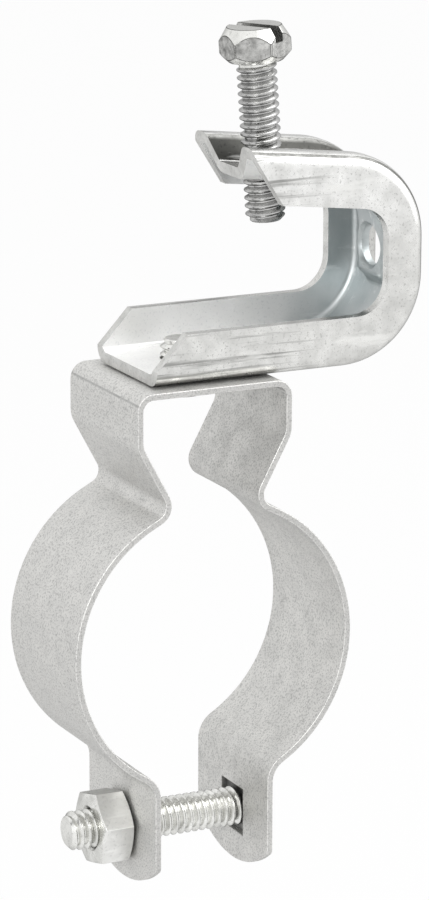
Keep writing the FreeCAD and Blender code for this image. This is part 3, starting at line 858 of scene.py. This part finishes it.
# %% Set screw head
HEAD_HEIGHT = 5.5
HEAD_RIM = (1.375, 3.3)
HEAD_FLATS = 9.9
HEAD_CORNER = 5.65
HEAD_CROWN = 4.3
HEAD_FOOT = 4.3
NECK_RADIUS = 2.75
NECK_LENGTH = 0.6
NECK_SUNK = 0.5
SLOT_WIDTH = 1.9
SLOT_DEPTH = 2.3
SLOT_TURN = -67.0
SHADE_LINE_WIDTH = 0.09 * MM
SCREW_FINISHES = [bright_zinc, flats_painted_shade, thread_painted_shade, edge_painted_shade]

neck_end = -NECK_LENGTH - NECK_SUNK
head = turned([
    (0, neck_end), (NECK_RADIUS, neck_end), (NECK_RADIUS, 0), (HEAD_FOOT, 0),
    (HEAD_CORNER, HEAD_RIM[0]), (HEAD_CORNER, HEAD_RIM[1]),
    (HEAD_CROWN, HEAD_HEIGHT), (0, HEAD_HEIGHT),
])
head = hexagonal(head, HEAD_FLATS, first_corner=30)
slot = bar(4 * HEAD_CORNER, SLOT_WIDTH, SLOT_DEPTH, HEAD_HEIGHT - SLOT_DEPTH)
slot.transform(Matrix.Rotation(math.radians(SLOT_TURN), 4, "Z"))
head = cut_away(head, slot)
# The flats get the darker finish and the edge roundings the dark one, both painted shade.
mark_flats(head, SCREW_FINISHES.index(flats_painted_shade))
lined(head, width=SHADE_LINE_WIDTH, sharp=18, number=SCREW_FINISHES.index(edge_painted_shade))
head.transform(standing(set_point, set_axis, set_top - HEAD_HEIGHT))
print("set screw head:", len(head.faces), "faces")

# %% [markdown]
# Its long shank is one threaded rod, whose tip bites the beam. The neck is sunk into its other
# end, so that the two shells overlap and show no gap. The thread has its own greyer finish, a
# painted shade for its grooves.

# %% Set screw
shank = threaded(set_top - HEAD_HEIGHT - NECK_LENGTH - set_tip)
shank.transform(standing(set_point, set_axis, set_tip))
# The whole shank gets the greyer finish, a painted shade for its grooves.
for face in shank.faces:
    face.material_index = SCREW_FINISHES.index(thread_painted_shade)
set_screw = piece(
    "leaning_set_screw", joined(head, shank), "set_screw", "set_screw", "screw_zinc",
    *SCREW_FINISHES,
)
soften(set_screw, width=0.1 * MM, sharp=25)

# %% [markdown]
# The saddle screw comes up through the strap into the clamp's lower arm, and the hanger
# swings on it. Its low slotted head is hidden under the saddle, so a plain outline is
# enough for it. The head and its stud are built the other way up, with the helpers made
# above, and turned over into place.

# %% Saddle screw
SADDLE_HEAD_HEIGHT = 2.2
SADDLE_HEAD_RADIUS = 5.6
SADDLE_RIM = SADDLE_HEAD_HEIGHT / 3
SADDLE_SHOULDER = (0.75 * SADDLE_HEAD_RADIUS, 0.9 * SADDLE_HEAD_HEIGHT)
SADDLE_CROWN = 3.6
SADDLE_SLOT_WIDTH = 1.3
SADDLE_SLOT_DEPTH = 1.1

low_head = turned([
    (0, SADDLE_HEAD_HEIGHT), (SADDLE_CROWN, SADDLE_HEAD_HEIGHT), SADDLE_SHOULDER,
    (SADDLE_HEAD_RADIUS, SADDLE_RIM), (SADDLE_HEAD_RADIUS, 0), (0, 0),
])
low_slot = bar(
    4 * SADDLE_HEAD_RADIUS, SADDLE_SLOT_WIDTH, SADDLE_SLOT_DEPTH,
    SADDLE_HEAD_HEIGHT - SADDLE_SLOT_DEPTH,
)
low_head = cut_away(low_head, low_slot)
turned_over = Matrix.Rotation(math.pi, 4, "X")
under_saddle = (saddle_low + SADDLE_HEAD_HEIGHT) * MM
low_head.transform(Matrix.Translation((0, 0, under_saddle)) @ turned_over)
stud = threaded(saddle_high - saddle_low - SADDLE_HEAD_HEIGHT / 2)
stud.transform(Matrix.Translation((0, 0, saddle_high * MM)) @ turned_over)
saddle_screw = piece(
    "swivel_screw", joined(low_head, stud), "clamp", "saddle_screw", "screw_zinc", bright_zinc,
)
soften(saddle_screw, width=0.1 * MM, sharp=25)

# %% [markdown]
# The bolt joins the two ears. A low round head stays outside the far ear, and the square
# neck under it sits in a square hole, so that it can't turn. The head could be a squashed
# sphere, but a spun arc takes its radius from the head's width and height, and it ends in
# a real rim.

# %% Hanger bolt head
BOLT_HEAD_HEIGHT = 3.0
BOLT_HEAD_RADIUS = 6.75
BOLT_RIM = 1.0
NECK_SQUARE = 7.2
NECK_REACH = 0.35
DOME_STEPS = 6
BOLT_FINISHES = [bright_zinc, edge_painted_shade]


def domed(radius, height, rim):
    """Outline of a low round head up Z: a short rim, then an arc that ends on the axis."""
    rise = height - rim
    ball = (radius ** 2 + rise ** 2) / (2 * rise)
    widest = math.asin(radius / ball)
    arc = [widest * (1 - step / DOME_STEPS) for step in range(DOME_STEPS + 1)]
    points = [(ball * math.sin(a), height - ball + ball * math.cos(a)) for a in arc]
    return [(0, 0), (radius, 0)] + points


round_head = turned(domed(BOLT_HEAD_RADIUS, BOLT_HEAD_HEIGHT, BOLT_RIM))
square = bmesh.new()
bmesh.ops.create_cube(square, size=MM)
bmesh.ops.scale(square, vec=(NECK_SQUARE, NECK_SQUARE, 2 * NECK_REACH), verts=square.verts)
# The square neck is painted dark, a painted shade inside its square hole.
for face in square.faces:
    face.material_index = BOLT_FINISHES.index(edge_painted_shade)
bolt_end = joined(round_head, square)
bolt_end.transform(standing(bolt_point, -bolt_axis, -bolt_head - BOLT_HEAD_HEIGHT))
print("bolt head:", len(bolt_end.faces), "faces")

# %% [markdown]
# The bolt's stem is threaded right up to its head, so it needs no plain stretch. Its end
# beyond the nut is drawn in a little, like the tips of the other two screws.

# %% Hanger bolt
stem = threaded(bolt_tip - bolt_head - BOLT_HEAD_HEIGHT)
stem.transform(standing(bolt_point, -bolt_axis, -bolt_tip))
bolt = piece(
    "ear_bolt", joined(bolt_end, stem), "hanger", "hanger_bolt", "screw_zinc", *BOLT_FINISHES,
)
soften(bolt, width=0.1 * MM, sharp=25)

# %% [markdown]
# The nut is a turned ring cut to a hexagon. The blank is wider than the corners, so only
# half of its slope is left on them. The bore opens with a short countersink, and is plain
# inside, because the bolt fills it. One corner points to the front, a little raised, as the
# nut happened to stop when it was tightened.

# %% Nut
NUT_FLATS = 11.1
NUT_FACE = 4.95
NUT_DROP = 0.85
NUT_TURN = 13.0
BORE_RADIUS = 3.225
BORE_MOUTH = 3.7
BORE_DROP = BORE_MOUTH - BORE_RADIUS
NUT_FINISHES = [bright_zinc, nut_zinc]

nut_height = nut_outer - nut_inner
wide = 2 * NUT_FLATS / math.sqrt(3) - NUT_FACE
ring = turned([
    (BORE_RADIUS, BORE_DROP), (BORE_MOUTH, 0), (NUT_FACE, 0), (wide, NUT_DROP),
    (wide, nut_height - NUT_DROP), (NUT_FACE, nut_height), (BORE_MOUTH, nut_height),
    (BORE_RADIUS, nut_height - BORE_DROP),
])
ring = hexagonal(ring, NUT_FLATS, first_corner=0)
mark_flats(ring, NUT_FINISHES.index(nut_zinc))
raised = Matrix.Rotation(math.radians(NUT_TURN - 90), 4, "Z")
ring.transform(standing(bolt_point, bolt_axis, nut_inner) @ raised)
nut = piece("ear_nut", ring, "nut", "hex_nut", "screw_zinc", *NUT_FINISHES)
soften(nut, width=0.12 * MM, sharp=25)

# %% [markdown]
# The studio needs a floor and two cards, all of them flat panels. They could be planes that are
# scaled and turned as objects; here the size and the turn go into the mesh, as they do for the
# pieces.

# %% Panels for the studio


def flat_panel(name, width, height, where, facing):
    """A plane of a given size at a place, turned to face a point."""
    bm = bmesh.new()
    bmesh.ops.create_grid(bm, x_segments=1, y_segments=1, size=0.5)
    bmesh.ops.scale(bm, vec=(width, height, 1), verts=bm.verts)
    turn = (Vector(facing) - Vector(where)).to_track_quat("Z", "Y").to_matrix().to_4x4()
    bm.transform(Matrix.Translation(where) @ turn)
    mesh = bpy.data.meshes.new(name)
    bm.to_mesh(mesh)
    bm.free()
    made = bpy.data.objects.new(name, mesh)
    scene.collection.objects.link(made)
    return made


# %% [markdown]
# The background has to be pure white, but so strong a light from all sides would bleach
# whatever is matte. Light Path tells the rays apart. What the camera sees, straight or in
# shiny metal or through glass, can be at full strength, while the even light stays lower.

# %% What is seen directly


def seen_directly(tree):
    """A number that is 1 for rays from the camera, in shiny metal or through glass."""
    light_path = tree.nodes.new("ShaderNodeLightPath")
    total = light_path.outputs["Is Camera Ray"]
    for name in ("Is Glossy Ray", "Is Transmission Ray"):
        either = tree.nodes.new("ShaderNodeMath")
        either.operation = "MAXIMUM"
        tree.links.new(total, either.inputs[0])
        tree.links.new(light_path.outputs[name], either.inputs[1])
        total = either.outputs[0]
    return total


# %% [markdown]
# The floor lies far below the hanging part. Seen directly, nearly all of it is a white
# glow, which makes it one with the world behind it, and the small rest is matte and takes
# the part's soft shadow. The other light in the room meets plain matte white.

# %% Floor
FLOOR_DROP = 0.12
FLOOR_SIZE = 4.0
FLOOR_GLOW = 0.96

floor_white = bpy.data.materials.new("floor_white")
floor_white.use_nodes = True
tree = floor_white.node_tree
matte = tree.nodes["Principled BSDF"]
matte.inputs["Base Color"].default_value = (0.9, 0.9, 0.9, 1)
matte.inputs["Roughness"].default_value = 0.9
glow = tree.nodes.new("ShaderNodeEmission")
share = tree.nodes.new("ShaderNodeMath")
share.operation = "MULTIPLY"
share.inputs[1].default_value = FLOOR_GLOW
tree.links.new(seen_directly(tree), share.inputs[0])
blend = tree.nodes.new("ShaderNodeMixShader")
tree.links.new(share.outputs[0], blend.inputs["Fac"])
tree.links.new(matte.outputs["BSDF"], blend.inputs[1])
tree.links.new(glow.outputs["Emission"], blend.inputs[2])
tree.links.new(blend.outputs["Shader"], tree.nodes["Material Output"].inputs["Surface"])

floor_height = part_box("conduit_hanger")[0].z - FLOOR_DROP
floor = flat_panel("floor", FLOOR_SIZE, FLOOR_SIZE, (0, 0, floor_height), (0, 0, 1))
floor.data.materials.append(floor_white)
print("floor at %.3f m" % floor_height)

# %% [markdown]
# Bare metal shows what stands round it, and in an all white room it would look like paper.
# Two grey cards, one behind and one far to the left, put darker bands into its bends. They
# are seen only in the metal: not by the camera, not as bounced light and not as a shadow.

# %% Cards
CARDS = {
    "card_behind": (0.30, 0.10, (0.12, 0.26, -0.10)),
    "card_near_left": (0.09, 0.5, (-0.45, 0.05, 0.02)),
}
card_grey = bpy.data.materials.new("card_grey")
card_grey.use_nodes = True
matte = card_grey.node_tree.nodes["Principled BSDF"]
matte.inputs["Base Color"].default_value = (0.15, 0.15, 0.15, 1)
matte.inputs["Roughness"].default_value = 1.0
for name, (width, height, where) in CARDS.items():
    card = flat_panel(name, width, height, where, (0, 0, 0))
    card.data.materials.append(card_grey)
    card.visible_camera = False
    card.visible_diffuse = False
    card.visible_shadow = False
print("cards:", sorted(CARDS))

# %% [markdown]
# The world is white to the camera and in the metal, and lights matte surfaces evenly at a
# lower strength. A picture of a real studio would give the metal more to reflect, but the
# background here is plain, and two cards are enough.

# %% World
WORLD_LIGHT = 0.45
WORLD_SEEN = 1.0

world = bpy.data.worlds.new("white_room")
scene.world = world
world.use_nodes = True
tree = world.node_tree
backdrop = tree.nodes["Background"]
backdrop.inputs["Color"].default_value = (1, 1, 1, 1)
strength = tree.nodes.new("ShaderNodeMapRange")
strength.inputs["To Min"].default_value = WORLD_LIGHT
strength.inputs["To Max"].default_value = WORLD_SEEN
tree.links.new(seen_directly(tree), strength.inputs["Value"])
tree.links.new(strength.outputs["Result"], backdrop.inputs["Strength"])
print("world:", world.name)

# %% [markdown]
# The lamps add the direction: a large one above, one from the left front and a weak one
# from the right. Area lamps are used because metal shows them as soft patches, where a
# point lamp would leave hard sparks. Each lamp has a width, a power and a place.

# %% Lamps
LAMPS = {
    "lamp_above": (0.9, 5.5, (0.35, -0.2, 0.72)),
    "lamp_left_front": (0.5, 4.0, (-0.7, -0.6, 0.35)),
    "lamp_right": (0.4, 1.6, (0.8, -0.3, 0.2)),
}
for name, (width, power, where) in LAMPS.items():
    light = bpy.data.lights.new(name, "AREA")
    light.size = width
    light.energy = power
    lamp = bpy.data.objects.new(name, light)
    lamp.location = where
    lamp.rotation_euler = (-Vector(where)).to_track_quat("-Z", "Y").to_euler()
    scene.collection.objects.link(lamp)
print("lamps:", sorted(LAMPS))

# %% [markdown]
# The camera stands in front, 26 degrees round towards the open jaw, and looks slightly
# down through a long lens, so that upright edges stay almost parallel. Its distance and
# lens were matched to the photograph with the strap's width as the scale, and it aims a
# little beside the part, which gives the same margins.

# %% Camera
AZIMUTH = 26.0
ELEVATION = 14.48
ROLL = 0.156
DISTANCE = 0.6567
LENS = 166.7
FAR_CLIP = 20.0
LOOK_HEIGHT = -0.02495
LOOK_RIGHT = 0.00538
LOOK_UP = 0.00357

a = math.radians(AZIMUTH)
e = math.radians(ELEVATION)
back = Vector((-math.sin(a) * math.cos(e), -math.cos(a) * math.cos(e), math.sin(e)))
right = Vector((math.cos(a), -math.sin(a), 0))
up = back.cross(right)
aim = Vector((0, 0, LOOK_HEIGHT)) + right * LOOK_RIGHT + up * LOOK_UP
lens = bpy.data.cameras.new("camera")
lens.lens = LENS
lens.clip_end = FAR_CLIP
camera = bpy.data.objects.new("camera", lens)
upright = Matrix((right, up, back)).transposed() @ Matrix.Rotation(math.radians(ROLL), 3, "Z")
camera.matrix_world = Matrix.Translation(aim + back * DISTANCE) @ upright.to_4x4()
scene.collection.objects.link(camera)
scene.camera = camera
print("camera at", [round(value, 3) for value in camera.location])
